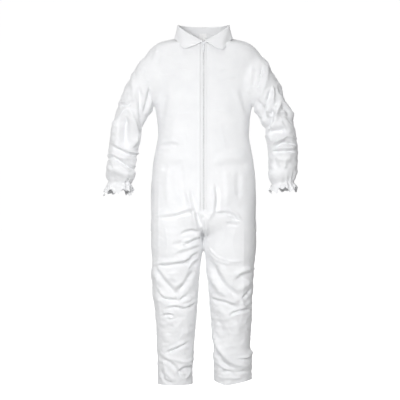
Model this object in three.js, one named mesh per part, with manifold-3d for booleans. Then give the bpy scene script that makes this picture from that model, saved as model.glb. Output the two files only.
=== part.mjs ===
// Disposable protective coverall, hanging as it does on a standing wearer.
// Millimetres. The origin is the middle of the neck opening, +Z is up, the front faces -Y and
// the wearer's left is +X. Each cloth panel is a thin shell cut from one body of lofts.

import * as THREE from 'three';
import { LoftGeometry } from 'three/addons/geometries/LoftGeometry.js';
import { mergeVertices } from 'three/addons/utils/BufferGeometryUtils.js';
import Module from 'manifold-3d';

// ---- driving dimensions ----

const CLOTH = 2;
const GAP = 0.3;
const BODY_POINTS = 28;
const SLEEVE_POINTS = 16;
const LEG_POINTS = 20;
const BARREL_POINTS = 40;

const NECK_HALF = 88;
const NECK_Z = 14;
const NECK_FRONT = -80;
const NECK_BACK = 64;
const NECK_LEAN = 0.3;
const SHOULDER_HALF = 240;
const SHOULDER_DROP = 55;
const CHEST_HALF = 207;
const CHEST_BACK = 112;
const ARMPIT_Z = -296;
const WAIST_HALF = 192;
const WAIST_BACK = 96;
const WAIST_Z = -400;
const HIP_HALF = 219;
const HIP_BACK = 122;
const HIP_Z = -640;
const CROTCH_Z = -811;
const CROTCH_SADDLE = 12;
const RISE_LOW = 77;
const BELLY_SLOPE = 0.062;

const SLEEVE_LENGTH = 562;
const SLEEVE_ANGLE = 10.6;
const SLEEVE_EASE = 27;
const SLEEVE_BEND = 270;
const SLEEVE_ROOT = 90;
const ARMHOLE_TOP_OUT = 9;
const ARMHOLE_BOTTOM_IN = 1;
const FLANK_SLOPE = 0.14;
const BICEP_HALF = 86;
const ELBOW_HALF = 68;
const WRIST_HALF = 52;
const CUFF_HALF = 57;

const INSEAM = 613;
const THIGH_HALF = 104;
const THIGH_DEPTH = 110;
const KNEE_HALF = 90;
const KNEE_DEPTH = 94;
const HEM_HALF = 72;
const HEM_DEPTH = 76;
const LEG_SPREAD = 110;
const LEG_CLEARANCE = 4;

const HIP_JOINT_RADIUS = 150;
const HIP_JOINT_Y = -2;
const BARREL_LENGTH = 900;

const ZIP_WIDTH = 28;
const ZIP_TO_CROTCH = 112;
const TAPE_THICK = 1;
const TAPE_LAP = 10;
const COIL_WIDTH = 2.6;
const COIL_DEPTH = 2.4;
const COIL_PARTING = 0.9;
const ZIP_STOP_LENGTH = 4;
const SLIDER_WIDTH = 11;
const SLIDER_LENGTH = 14;
const SLIDER_PLATE = 1.4;
const SLIDER_POST = 1.1;
const PULL_WIDTH = 7;
const PULL_LENGTH = 26;
const PULL_THICK = 1.4;
const PULL_PIN = 1;
const PULL_EYE_WALL = 0.9;

const COLLAR_RISE = 48;
const COLLAR_LEAN = 0.08;
const COLLAR_FLARE = 12;
const STAND_THICK = 1.6;
const FALL_FLARE = 15;
const FALL_DROP = 44;
const WING_THICK = 2;
const WING_FRONT_HALF = 5;
const WING_PROUD = 7;
const WING_CORNER_OUT = 22;
const WING_CORNER_BACK = 55;
const WING_CORNER_RISE = 61;
const WING_POINT = { out: 95, back: 2, drop: 24 };
const WING_SHOULDER = { along: 0.95, across: 0.27 };

const LABEL_WIDTH = 36;
const LABEL_HEIGHT = 24;
const LABEL_ABOVE_SEAM = 3;
const LABEL_THICK = 0.8;

const ELASTIC_THICK = 1;
const WAIST_ELASTIC_HEIGHT = 14;
const WAIST_ELASTIC_FRONT = 10;
const CUFF_ELASTIC_HEIGHT = 12;
const CUFF_FRILL = 26;
const HEM_THICK = 1.2;
const HEM_HEIGHT = 22;

// ---- materials ----

const finish = (color, roughness, metalness) => () => (
  new THREE.MeshStandardMaterial({ color, roughness, metalness })
);
const clothMaterial = finish(0xf1f2f3, 0.85, 0);
const tapeMaterial = finish(0xe6e7e8, 0.8, 0);
const coilMaterial = finish(0xd9dadb, 0.45, 0);
const sliderMaterial = finish(0xc9cbcd, 0.35, 0.6);
const elasticMaterial = finish(0xe2e2e0, 0.9, 0);
const labelMaterial = finish(0xf6f6f6, 0.6, 0);

// ---- solids ----

const wasm = await Module();
wasm.setup();

const vec = (x, y, z) => new THREE.Vector3(x, y, z);
const radians = THREE.MathUtils.degToRad;
const lerp = THREE.MathUtils.lerp;

// a closed three.js geometry as a solid
function solid(geometry) {
  const bare = new THREE.BufferGeometry().copy(geometry);
  bare.deleteAttribute('normal');
  bare.deleteAttribute('uv');
  const merged = mergeVertices(bare, 1e-4);
  const vertProperties = new Float32Array(merged.getAttribute('position').array);
  const triVerts = new Uint32Array(merged.index.array);
  return new wasm.Manifold(new wasm.Mesh({ numProp: 3, vertProperties, triVerts }));
}

// the geometry of a solid
function geometryOf(shape) {
  const mesh = shape.getMesh();
  const geometry = new THREE.BufferGeometry();
  geometry.setAttribute('position', new THREE.BufferAttribute(mesh.vertProperties, 3));
  geometry.setIndex(new THREE.BufferAttribute(mesh.triVerts, 1));
  return geometry;
}

// a box between two corners, as a solid
function block(low, high) {
  const size = high.clone().sub(low);
  const middle = high.clone().add(low).multiplyScalar(0.5);
  return solid(new THREE.BoxGeometry(size.x, size.y, size.z).translate(middle.x, middle.y, middle.z));
}

// the same solid on the wearer's other side
function mirrored(shape) {
  const geometry = geometryOf(shape);
  geometry.applyMatrix4(new THREE.Matrix4().makeScale(-1, 1, 1));
  const index = geometry.index.array;
  for (let i = 0; i < index.length; i += 3) {
    [index[i + 1], index[i + 2]] = [index[i + 2], index[i + 1]];
  }
  return solid(geometry);
}

// one closed ring of points: an ellipse squared off a little, from its middle and half-axes
function ring(middle, across, along, count, roundness = 2.3) {
  const points = [];
  for (let j = 0; j < count; j += 1) {
    const angle = -2 * Math.PI * j / count;
    const cos = Math.cos(angle);
    const sin = Math.sin(angle);
    const a = Math.sign(cos) * Math.abs(cos) ** (2 / roundness);
    const b = Math.sign(sin) * Math.abs(sin) ** (2 / roundness);
    points.push(middle.clone().addScaledVector(across, a).addScaledVector(along, b));
  }
  return points;
}

// the rings moved inwards, square to the surface
function inset(rings, depth) {
  return rings.map((row, i) => row.map((point, j) => {
    const before = rings[Math.max(i - 1, 0)][j];
    const after = rings[Math.min(i + 1, rings.length - 1)][j];
    const left = row[(j + row.length - 1) % row.length];
    const right = row[(j + 1) % row.length];
    const normal = right.clone().sub(left).cross(after.clone().sub(before)).normalize();
    return point.clone().addScaledVector(normal, -depth);
  }));
}

// a ring more at an end, further along, so that a cut there goes right through
function extended(rings, atStart, atEnd, reach = 12) {
  const onward = (from, to) => to.map((point, j) => {
    const way = point.clone().sub(from[j]).normalize();
    return point.clone().addScaledVector(way, reach);
  });
  const all = [...rings];
  if (atStart) all.unshift(onward(rings[1], rings[0]));
  if (atEnd) all.push(onward(rings[rings.length - 2], rings[rings.length - 1]));
  return all;
}

const loft = (rings) => solid(new LoftGeometry(rings, { capStart: true, capEnd: true }));

// a half-space as a big box: everything on the far side of a plane through a point
function beyond(point, normal, reach = 4000) {
  const box = new THREE.BoxGeometry(reach, reach, reach).translate(0, 0, reach / 2);
  const turn = new THREE.Quaternion().setFromUnitVectors(vec(0, 0, 1), normal.clone().normalize());
  return solid(box.applyQuaternion(turn).translate(point.x, point.y, point.z));
}

// ---- lofted body ----

const neckMiddle = (NECK_FRONT + NECK_BACK) / 2;
const neckFrontZ = NECK_Z + NECK_LEAN * (NECK_FRONT - neckMiddle);

// the straight line that the zip lies on, down the middle of the front
const frontLineY = (z) => NECK_FRONT + BELLY_SLOPE * (z - neckFrontZ);

// where that line meets a ring that leans
function ringFront(z, lean) {
  return (frontLineY(z) - BELLY_SLOPE * lean * neckMiddle) / (1 - BELLY_SLOPE * lean);
}

function torsoRings() {
  const row = (z, half, back, lean) => ({ z, half, front: ringFront(z, lean), back, lean });
  const rows = [
    row(NECK_Z, NECK_HALF, NECK_BACK, NECK_LEAN),
    row(lerp(NECK_Z, -SHOULDER_DROP, 0.1), lerp(NECK_HALF, SHOULDER_HALF, 0.2), NECK_BACK + 8, 0.25),
    row(lerp(NECK_Z, -SHOULDER_DROP, 0.2), lerp(NECK_HALF, SHOULDER_HALF, 0.52), NECK_BACK + 16, 0.17),
    row(lerp(NECK_Z, -SHOULDER_DROP, 0.5), lerp(NECK_HALF, SHOULDER_HALF, 0.8), NECK_BACK + 24, 0.08),
    row(-SHOULDER_DROP, SHOULDER_HALF, NECK_BACK + 32, 0.04),
    row(lerp(-SHOULDER_DROP, ARMPIT_Z, 0.18), SHOULDER_HALF + 6, NECK_BACK + 38, 0),
    row(lerp(-SHOULDER_DROP, ARMPIT_Z, 0.5), lerp(SHOULDER_HALF, CHEST_HALF, 0.45), CHEST_BACK, 0),
    row(ARMPIT_Z, CHEST_HALF, CHEST_BACK, 0),
    row(WAIST_Z, WAIST_HALF, WAIST_BACK, 0),
    row(lerp(WAIST_Z, HIP_Z, 0.5), lerp(WAIST_HALF, HIP_HALF, 0.7), lerp(WAIST_BACK, HIP_BACK, 0.5), 0),
    row(HIP_Z, HIP_HALF, HIP_BACK, 0),
    row(CROTCH_Z + RISE_LOW, HIP_HALF - 1, HIP_BACK - 3, 0),
    {
      z: CROTCH_Z + CROTCH_SADDLE,
      half: HIP_HALF - 6,
      front: HIP_JOINT_Y - THIGH_DEPTH,
      back: HIP_JOINT_Y + THIGH_DEPTH,
      lean: 0,
    },
  ];
  return rows.map(({ z, half, front, back, lean }) => {
    const middle = (front + back) / 2;
    const height = z + lean * (middle - neckMiddle);
    const depth = (back - front) / 2;
    return ring(vec(0, middle, height), vec(half, 0, 0), vec(0, depth, lean * depth), BODY_POINTS);
  });
}

const armholeBottom = vec(CHEST_HALF - ARMHOLE_BOTTOM_IN, 0, ARMPIT_Z);
const armholeTop = vec(SHOULDER_HALF + ARMHOLE_TOP_OUT, 0, -SHOULDER_DROP - ARMHOLE_TOP_OUT);
const armholeRise = armholeTop.clone().sub(armholeBottom);
const armholeNormal = vec(armholeRise.z, 0, -armholeRise.x).normalize();

function sleeveRings() {
  const hang = vec(Math.sin(radians(SLEEVE_ANGLE)), 0, -Math.cos(radians(SLEEVE_ANGLE)));
  const start = armholeTop.clone().add(armholeBottom).multiplyScalar(0.5);
  const wrist = armholeTop.clone().addScaledVector(hang, SLEEVE_LENGTH);
  const bend = armholeTop.clone().addScaledVector(hang, SLEEVE_BEND)
    .addScaledVector(vec(-hang.z, 0, hang.x), SLEEVE_EASE);
  const path = new THREE.QuadraticBezierCurve3(start, bend, wrist);
  const armholeHalf = armholeRise.length() / 2;
  const armholeTilt = Math.atan2(armholeRise.z, armholeRise.x);
  const wristTilt = radians(SLEEVE_ANGLE) * 0.4;
  const cuff = 1 - CUFF_FRILL / SLEEVE_LENGTH;
  const rows = [
    { t: -1, half: armholeHalf - 34, depth: 64, turn: 0 },
    { t: 0, half: armholeHalf, depth: 86, turn: 0 },
    { t: 0.12, half: lerp(armholeHalf, BICEP_HALF, 0.45), depth: 86, turn: 0.22 },
    { t: 0.27, half: BICEP_HALF, depth: 82, turn: 0.52 },
    { t: 0.42, half: lerp(BICEP_HALF, ELBOW_HALF, 0.7), depth: 76, turn: 0.78 },
    { t: 0.58, half: ELBOW_HALF, depth: 70, turn: 0.92 },
    { t: 0.78, half: lerp(ELBOW_HALF, WRIST_HALF, 0.5), depth: 63, turn: 1 },
    { t: cuff, half: WRIST_HALF, depth: WRIST_HALF - 2, turn: 1 },
    { t: 1, half: CUFF_HALF, depth: CUFF_HALF - 2, turn: 1 },
  ];
  return rows.map(({ t, half, depth, turn }) => {
    const middle = t < 0 ? start.clone().addScaledVector(armholeNormal, t * SLEEVE_ROOT) : path.getPoint(t);
    const tilt = lerp(armholeTilt, wristTilt, turn);
    const across = vec(Math.cos(tilt), 0, Math.sin(tilt)).multiplyScalar(half);
    return ring(middle, across, vec(0, depth, 0), SLEEVE_POINTS, 2.1);
  });
}

function legRings() {
  const shin = { half: lerp(KNEE_HALF, HEM_HALF, 0.65), depth: lerp(KNEE_DEPTH, HEM_DEPTH, 0.65) };
  const rows = [
    { t: -0.24, half: THIGH_HALF - 8, depth: THIGH_DEPTH - 12, x: LEG_SPREAD },
    { t: -0.04, half: LEG_SPREAD - LEG_CLEARANCE, depth: THIGH_DEPTH, x: LEG_SPREAD },
    { t: 0.12, half: THIGH_HALF - 3, depth: THIGH_DEPTH - 3, x: LEG_SPREAD + 2 },
    { t: 0.4, half: KNEE_HALF, depth: KNEE_DEPTH, x: LEG_SPREAD + 3 },
    { t: 0.72, ...shin, x: LEG_SPREAD + 6 },
    { t: 1, half: HEM_HALF, depth: HEM_DEPTH, x: LEG_SPREAD + 7 },
  ];
  return rows.map(({ t, half, depth, x }) => {
    const middle = vec(x, HIP_JOINT_Y + 4 * Math.max(t, 0), CROTCH_Z - t * INSEAM);
    return ring(middle, vec(half, 0, 0), vec(0, depth, 0), LEG_POINTS, 2.2);
  });
}

const torso = torsoRings();
const sleeve = sleeveRings();
const leg = legRings();

// the body at a depth inside its outer surface; the neck, wrists and ankles run through
function bodyAt(depth) {
  if (depth === 0) {
    const outerSleeve = loft(sleeve);
    const outerLeg = loft(leg);
    return loft(torso).add(outerSleeve).add(mirrored(outerSleeve)).add(outerLeg).add(mirrored(outerLeg));
  }
  const trunk = inset(torso, depth);
  trunk[trunk.length - 1].forEach((point) => { point.z += depth; });
  const arm = loft(extended(inset(sleeve, depth), false, true));
  const limb = loft(extended(inset(leg, depth), false, true));
  return loft(extended(trunk, true, false)).add(arm).add(mirrored(arm)).add(limb).add(mirrored(limb));
}

const outer = bodyAt(0);
const inner = bodyAt(CLOTH);
const shell = outer.subtract(inner);

// ---- regions that the shell is cut into ----

// the wedge outside the armhole's plane and clear of the body's flank below it
const flankNormal = vec(1, 0, FLANK_SLOPE).normalize();
function armRegion(offset) {
  const plane = beyond(armholeBottom.clone().addScaledVector(armholeNormal, offset), armholeNormal);
  return plane.intersect(beyond(armholeBottom.clone().addScaledVector(flankNormal, offset), flankNormal));
}

const hipJoint = vec(0, HIP_JOINT_Y, CROTCH_Z);

// everything at or below the hip joint's barrel, whose flats are kept at or outside the radius
function legRegion(radius) {
  const corner = radius / Math.cos(Math.PI / BARREL_POINTS);
  const barrel = new THREE.CylinderGeometry(corner, corner, BARREL_LENGTH, BARREL_POINTS);
  barrel.rotateZ(Math.PI / 2).translate(hipJoint.x, hipJoint.y, hipJoint.z);
  return solid(barrel).add(beyond(hipJoint, vec(0, 0, -1)));
}
const legReach = HIP_JOINT_RADIUS * Math.cos(Math.PI / BARREL_POINTS);

const front = beyond(vec(0, -GAP / 2, 0), vec(0, -1, 0));
const back = beyond(vec(0, GAP / 2, 0), vec(0, 1, 0));
const leftSide = beyond(vec(GAP / 2, 0, 0), vec(1, 0, 0));

const armCut = armRegion(-GAP / 2);
const trunkShell = shell
  .subtract(armCut)
  .subtract(mirrored(armCut))
  .subtract(legRegion(HIP_JOINT_RADIUS + GAP));
const legShell = shell.intersect(legRegion(legReach)).intersect(leftSide).subtract(armCut);
const sleeveShell = shell.intersect(armRegion(GAP / 2));

// ---- zip frame: +z up along the zip, -y out of its front ----

const zipTilt = Math.atan(BELLY_SLOPE);
const zipBottomZ = CROTCH_Z + ZIP_TO_CROTCH;
const zipTop = vec(0, NECK_FRONT, neckFrontZ);
const zipLength = (neckFrontZ - zipBottomZ) / Math.cos(zipTilt);
const tapeFront = CLOTH + GAP;
const coilFront = tapeFront + TAPE_THICK / 2 - COIL_DEPTH / 2;
const coilOuter = COIL_PARTING + COIL_WIDTH;

const zip = new THREE.Group();
zip.position.copy(zipTop);
zip.rotation.x = -zipTilt;

const openingBottom = zipBottomZ - ZIP_STOP_LENGTH - 3 * GAP;
const zipOpening = block(vec(-ZIP_WIDTH / 2, -300, openingBottom), vec(ZIP_WIDTH / 2, 0, COLLAR_RISE));

// ---- object ----

const coverall = new THREE.Group();
coverall.name = 'coverall';

function addPiece(name, shape, material, parent = coverall) {
  const mesh = new THREE.Mesh(geometryOf(shape), material);
  mesh.name = name;
  parent.add(mesh);
}

function addPair(name, shape, material, parent = coverall) {
  addPiece(`${name}_left`, shape, material(), parent);
  addPiece(`${name}_right`, mirrored(shape), material(), parent);
}

// panels
const leftTrunk = trunkShell.intersect(leftSide);
addPair('front_panel', leftTrunk.intersect(front).subtract(zipOpening), clothMaterial);
addPair('back_panel', leftTrunk.intersect(back), clothMaterial);
addPair('leg_front', legShell.intersect(front), clothMaterial);
addPair('leg_back', legShell.intersect(back), clothMaterial);
addPair('sleeve', sleeveShell, clothMaterial);

// linings inside the shell
const liningOuter = bodyAt(CLOTH + GAP);
const slab = (low, high) => block(vec(-900, -400, low), vec(900, 400, high));

const lining = (thick) => liningOuter.subtract(bodyAt(CLOTH + GAP + thick));

const waistLining = lining(ELASTIC_THICK);
const waistMiddle = WAIST_Z - 20;
const waistBand = slab(waistMiddle - WAIST_ELASTIC_HEIGHT / 2, waistMiddle + WAIST_ELASTIC_HEIGHT / 2);
const waistBack = beyond(vec(0, WAIST_ELASTIC_FRONT, 0), vec(0, 1, 0));
const elasticReach = block(vec(-WAIST_HALF - 12, -400, -900), vec(WAIST_HALF + 12, 400, 0));
const waistElastic = waistLining.intersect(waistBand).intersect(waistBack).intersect(elasticReach);
addPiece('waist_elastic', waistElastic, elasticMaterial());

const wristMiddle = sleeve[sleeve.length - 1].reduce((sum, point) => sum.add(point), vec(0, 0, 0))
  .divideScalar(SLEEVE_POINTS);
const wristTilt = radians(SLEEVE_ANGLE) * 0.4;
const wristWay = vec(Math.sin(wristTilt), 0, -Math.cos(wristTilt));
const cuffTop = wristMiddle.clone().addScaledVector(wristWay, -CUFF_FRILL - CUFF_ELASTIC_HEIGHT / 2);
const cuffLow = wristMiddle.clone().addScaledVector(wristWay, -CUFF_FRILL + CUFF_ELASTIC_HEIGHT / 2);
const cuffBand = beyond(cuffTop, wristWay).subtract(beyond(cuffLow, wristWay));
const armOnly = block(vec(WAIST_HALF + 40, -400, -900), vec(900, 400, 0));
addPair('cuff_elastic', waistLining.intersect(cuffBand).intersect(armOnly), elasticMaterial);

const hemZ = CROTCH_Z - INSEAM;
const hemBand = slab(hemZ + GAP, hemZ + HEM_HEIGHT).intersect(leftSide);
addPair('ankle_hem', lining(HEM_THICK).intersect(hemBand), clothMaterial);

// zip
const tapeTop = -1;
const tapeWide = ZIP_WIDTH / 2 + TAPE_LAP;
const tapeReach = block(
  vec(coilOuter + GAP, -300, openingBottom),
  vec(tapeWide, 0, neckFrontZ + tapeTop),
);
addPair('zipper_tape', lining(TAPE_THICK).intersect(tapeReach), tapeMaterial);
const coilBack = coilFront + COIL_DEPTH;
const coilTop = tapeTop - ZIP_STOP_LENGTH - GAP;
const coilShape = block(vec(COIL_PARTING, coilFront, -zipLength), vec(coilOuter, coilBack, coilTop));
addPair('zipper_coil', coilShape, coilMaterial, zip);
const stopShape = block(
  vec(COIL_PARTING, coilFront, tapeTop - ZIP_STOP_LENGTH),
  vec(coilOuter, coilBack, tapeTop),
);
addPair('zipper_top_stop', stopShape, sliderMaterial, zip);
const bottomStop = block(
  vec(-coilOuter, coilFront, -zipLength - GAP - ZIP_STOP_LENGTH),
  vec(coilOuter, coilBack, -zipLength - GAP),
);
addPiece('zipper_bottom_stop', bottomStop, sliderMaterial(), zip);

// slider: two plates joined by a thin post that runs between the coils
const sliderTop = tapeTop - ZIP_STOP_LENGTH - 2 * GAP;
const sliderFront = coilFront - GAP - SLIDER_PLATE;
const sliderBack = coilBack + GAP;
const sliderHalf = SLIDER_WIDTH / 2;
const sliderPlate = (face) => block(
  vec(-sliderHalf, face, sliderTop - SLIDER_LENGTH),
  vec(sliderHalf, face + SLIDER_PLATE, sliderTop),
);
const slider = sliderPlate(sliderFront)
  .add(sliderPlate(sliderBack))
  .add(block(
    vec(-SLIDER_POST / 2, sliderFront + SLIDER_PLATE / 2, sliderTop - SLIDER_LENGTH / 2),
    vec(SLIDER_POST / 2, sliderBack + SLIDER_PLATE / 2, sliderTop - 1),
  ));
// the bridge that the pull tab hangs on: two cheeks and a bar
const eyeOuter = PULL_PIN + GAP + PULL_EYE_WALL;
const pinY = sliderFront - eyeOuter - GAP;
const pinZ = sliderTop - SLIDER_LENGTH / 2;
const cheekHalf = PULL_PIN + 0.6;
const cheek = (side) => block(
  vec(side * (PULL_WIDTH / 2 + GAP) - 0.6 + side * 0.6, pinY - cheekHalf, pinZ - cheekHalf),
  vec(side * (PULL_WIDTH / 2 + GAP) + 0.6 + side * 0.6, sliderFront + 0.1, pinZ + cheekHalf),
);
const pinBar = solid(new THREE.CylinderGeometry(PULL_PIN, PULL_PIN, PULL_WIDTH + 2 * GAP + 1, 12)
  .rotateZ(Math.PI / 2).translate(0, pinY, pinZ));
addPiece('zipper_slider', slider.add(cheek(-1)).add(cheek(1)).add(pinBar), sliderMaterial(), zip);

// pull tab: an eye round the bar and a flat tongue below it
const eye = solid(new THREE.CylinderGeometry(eyeOuter, eyeOuter, PULL_WIDTH, 16).rotateZ(Math.PI / 2));
const eyeHole = solid(new THREE.CylinderGeometry(PULL_PIN + GAP, PULL_PIN + GAP, PULL_WIDTH + 2, 16)
  .rotateZ(Math.PI / 2));
const tongue = block(
  vec(-PULL_WIDTH / 2, -eyeOuter, -PULL_LENGTH),
  vec(PULL_WIDTH / 2, -eyeOuter + PULL_THICK, 0),
);
const pull = new THREE.Group();
pull.position.set(0, pinY, pinZ);
addPiece('zipper_pull_tab', eye.add(tongue).subtract(eyeHole), sliderMaterial(), pull);
zip.add(pull);
coverall.add(zip);

// collar: a stand on the neck opening, a fall folded over it behind, a wing folded each side
const neckDepth = (NECK_BACK - NECK_FRONT) / 2;
function collarRing(z, grow, lean) {
  const depth = neckDepth + grow;
  return ring(vec(0, neckMiddle, z), vec(NECK_HALF + grow, 0, 0), vec(0, depth, lean * depth), BODY_POINTS);
}
const collarTopZ = NECK_Z + COLLAR_RISE;
const standRings = [
  collarRing(collarTopZ, COLLAR_FLARE, COLLAR_LEAN),
  collarRing(NECK_Z + GAP, 0, NECK_LEAN),
];
const standAt = (depth) => loft(extended(inset(standRings, depth), true, true));

// the wing's plane: its front corner, its fold's upper corner and its point
const wingFront = vec(WING_FRONT_HALF, NECK_FRONT - WING_PROUD, neckFrontZ);
const wingFold = vec(NECK_HALF + WING_CORNER_OUT - WING_FRONT_HALF, WING_CORNER_BACK, WING_CORNER_RISE);
const wingAlong = wingFold.clone().normalize();
const wingReach = vec(WING_POINT.out, WING_POINT.back, -WING_POINT.drop);
const pointAlong = wingReach.dot(wingAlong);
const wingAcross = wingReach.clone().addScaledVector(wingAlong, -pointAlong);
const pointAcross = wingAcross.length();
wingAcross.normalize();
const wingInward = wingAlong.clone().cross(wingAcross);

const wingOutline = new THREE.Shape([
  new THREE.Vector2(0, 0),
  new THREE.Vector2(wingFold.length(), 0),
  new THREE.Vector2(wingFold.length() * WING_SHOULDER.along, pointAcross * WING_SHOULDER.across),
  new THREE.Vector2(pointAlong, pointAcross),
]);
const wingPlacing = new THREE.Matrix4().makeBasis(wingAlong, wingAcross, wingInward).setPosition(wingFront);
const wing = new THREE.ExtrudeGeometry(wingOutline, { depth: WING_THICK, bevelEnabled: false })
  .translate(0, 0, -WING_THICK).applyMatrix4(wingPlacing);
addPair('collar_wing', solid(wing), clothMaterial);

const beforeWing = beyond(wingFront.clone().addScaledVector(wingInward, GAP), wingInward.clone().negate())
  .intersect(beyond(vec(0, 0, 0), vec(1, 0, 0)));
const standFront = block(vec(-coilOuter, -300, -100), vec(coilOuter, 0, 200));
const stand = loft(standRings).subtract(standAt(STAND_THICK))
  .subtract(beforeWing).subtract(mirrored(beforeWing)).subtract(standFront);
addPiece('collar_stand', stand, clothMaterial());

const fallBack = beyond(wingFront.clone().add(wingFold).addScaledVector(vec(0, 1, 0), GAP), vec(0, 1, 0));
const fallInner = [
  collarRing(collarTopZ + GAP, COLLAR_FLARE + GAP, COLLAR_LEAN),
  collarRing(collarTopZ - FALL_DROP, COLLAR_FLARE + FALL_FLARE, COLLAR_LEAN),
];
const fall = loft(inset(fallInner, -CLOTH)).subtract(loft(extended(fallInner, true, true)));
addPiece('collar_fall', fall.intersect(fallBack), clothMaterial());

// label inside the back of the stand
const labelLow = NECK_Z + NECK_LEAN * neckDepth + LABEL_ABOVE_SEAM;
const labelReach = block(
  vec(-LABEL_WIDTH / 2, 0, labelLow),
  vec(LABEL_WIDTH / 2, 300, labelLow + LABEL_HEIGHT),
);
const labelDepth = STAND_THICK + GAP;
const label = standAt(labelDepth).subtract(standAt(labelDepth + LABEL_THICK)).intersect(labelReach);
addPiece('neck_label', label, labelMaterial());

export default coverall;
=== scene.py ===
"""Looks for the protective coverall: creased nonwoven cloth, collar, front zip, hems and studio."""
import math

import bmesh
import bpy
import numpy as np
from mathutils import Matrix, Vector, noise


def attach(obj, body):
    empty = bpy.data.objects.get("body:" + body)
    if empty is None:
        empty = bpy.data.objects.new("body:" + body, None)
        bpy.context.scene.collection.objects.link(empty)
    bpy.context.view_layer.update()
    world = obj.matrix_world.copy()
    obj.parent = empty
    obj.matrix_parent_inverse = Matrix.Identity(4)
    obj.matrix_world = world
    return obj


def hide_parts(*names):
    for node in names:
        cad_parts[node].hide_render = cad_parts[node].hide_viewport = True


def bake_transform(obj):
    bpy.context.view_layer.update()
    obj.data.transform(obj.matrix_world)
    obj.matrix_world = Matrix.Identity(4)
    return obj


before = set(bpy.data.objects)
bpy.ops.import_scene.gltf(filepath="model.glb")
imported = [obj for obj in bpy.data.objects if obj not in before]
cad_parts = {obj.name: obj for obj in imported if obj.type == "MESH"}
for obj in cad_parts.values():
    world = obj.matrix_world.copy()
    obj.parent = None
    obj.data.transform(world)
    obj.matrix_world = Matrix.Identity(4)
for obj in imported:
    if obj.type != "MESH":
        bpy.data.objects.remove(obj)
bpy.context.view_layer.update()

CM = 0.01
MM = 0.001
VOXEL = 0.0043
CLOTH, DOUBLE_CLOTH = 1.1 * MM, 1.6 * MM
BAND_THICK, BAND_DEPTH = 0.8 * MM, 1.6 * MM  # elastics and turned hems, and how far inside they lie

# The CAD's main places, in metres
NECK_Z, NECK_MIDDLE, NECK_LEAN = 0.014, -0.008, 0.3
ZIP_TOP = Vector((0, -0.080, -0.0076))
ZIP_SLOPE = 0.062
OPENING_HALF, OPENING_END = 0.014, -0.704
ARMHOLE_LOW, ARMHOLE_TOP = np.array((0.206, 0, -0.296)), np.array((0.249, 0, -0.064))
ARMHOLE_MIDDLE = (ARMHOLE_LOW + ARMHOLE_TOP) / 2
ARMHOLE_OUT = np.array((0.983, 0, -0.182))
FLANK_OUT = np.array((0.990, 0, 0.139))
SLEEVE_HANG = np.array((0.184, 0, -0.983))
SLEEVE_ACROSS = np.array((0.983, 0, 0.184))
SLEEVE_LENGTH, GATHER = 0.562, 0.954  # the gather's share of the way down
SLEEVE_END = ARMHOLE_TOP + SLEEVE_HANG * SLEEVE_LENGTH
FOREARM_SHIFT = 0.018  # about how far in bow_limbs moves the left cuff
CROTCH_Z, INSEAM, HIP_Y = -0.811, 0.613, -0.002
HEM_Z = CROTCH_Z - INSEAM
HEM_HEIGHT = 0.022
WAIST_Z = -0.420
WING_COUNT = 25  # how many points of the collar's fold, from the front, belong to a wing


# ---- small helpers ----

def smooth(x, low, high):
    """0 below low, 1 above high, and a smooth rise between them."""
    t = np.clip((x - low) / (high - low), 0, 1)
    return t * t * (3 - 2 * t)


def hump(x, width):
    return np.exp(-((x / width) ** 2))


def to_left(points):
    """A copy of the points with those of the right side mirrored to the left."""
    return np.hstack([np.abs(points[:, :1]), points[:, 1:]])


def side_name(x):
    return "left" if x > 0 else "right"


def front_line(z):
    return ZIP_TOP.y + ZIP_SLOPE * (z - ZIP_TOP.z)


def oval(middle, across, along, count=160, power=2.3):
    """A closed ring of points: an ellipse squared off a little."""
    angle = np.linspace(0, 2 * np.pi, count, endpoint=False)
    a = np.sign(np.cos(angle)) * np.abs(np.cos(angle)) ** (2 / power)
    b = np.sign(np.sin(angle)) * np.abs(np.sin(angle)) ** (2 / power)
    return np.array(middle) + np.outer(a, across) + np.outer(b, along)


def through(stations, rows, steps):
    """Smooth rows through the given ones, without overshoot."""
    t, p = np.array(stations, float), np.array(rows, float)
    gap = np.diff(t).reshape((-1,) + (1,) * (p.ndim - 1))
    secant = np.diff(p, axis=0) / gap
    slope = np.zeros_like(p)
    slope[0], slope[-1] = secant[0], secant[-1]
    same = secant[1:] * secant[:-1] > 0
    total = np.where(same, secant[1:] + secant[:-1], 1)
    slope[1:-1] = np.where(same, 2 * secant[1:] * secant[:-1] / total, 0)
    made = []
    for x in np.linspace(t[0], t[-1], steps):
        i = min(max(np.searchsorted(t, x) - 1, 0), len(t) - 2)
        h = t[i + 1] - t[i]
        u = (x - t[i]) / h
        made.append(
            (1 + 2 * u) * (1 - u) ** 2 * p[i] + u * (1 - u) ** 2 * h * slope[i]
            + u * u * (3 - 2 * u) * p[i + 1] + u * u * (u - 1) * h * slope[i + 1]
        )
    return np.array(made)


def new_object(name, verts, faces, look=None):
    mesh = bpy.data.meshes.new(name)
    mesh.from_pydata([tuple(v) for v in verts], [], [tuple(f) for f in faces])
    mesh.update()
    obj = bpy.data.objects.new(name, mesh)
    bpy.context.scene.collection.objects.link(obj)
    if look:
        mesh.materials.append(look)
    for face in mesh.polygons:
        face.use_smooth = True
    return obj


def grid_faces(rows, columns, closed=False, start=0):
    faces = []
    for i in range(rows - 1):
        for j in range(columns if closed else columns - 1):
            k = (j + 1) % columns
            faces.append((start + i * columns + j, start + i * columns + k,
                          start + (i + 1) * columns + k, start + (i + 1) * columns + j))
    return faces


def tube(rows):
    """A closed solid through rings of points, as vertices and faces."""
    count, columns = len(rows), rows.shape[1]
    verts = list(rows.reshape(-1, 3))
    faces = grid_faces(count, columns, closed=True)
    for ring, order in ((0, 1), (count - 1, -1)):
        middle = len(verts)
        verts.append(rows[ring].mean(0))
        base = ring * columns
        for j in range(columns):
            face = (base + j, middle, base + (j + 1) % columns)
            faces.append(face[::order])
    return verts, faces


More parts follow.
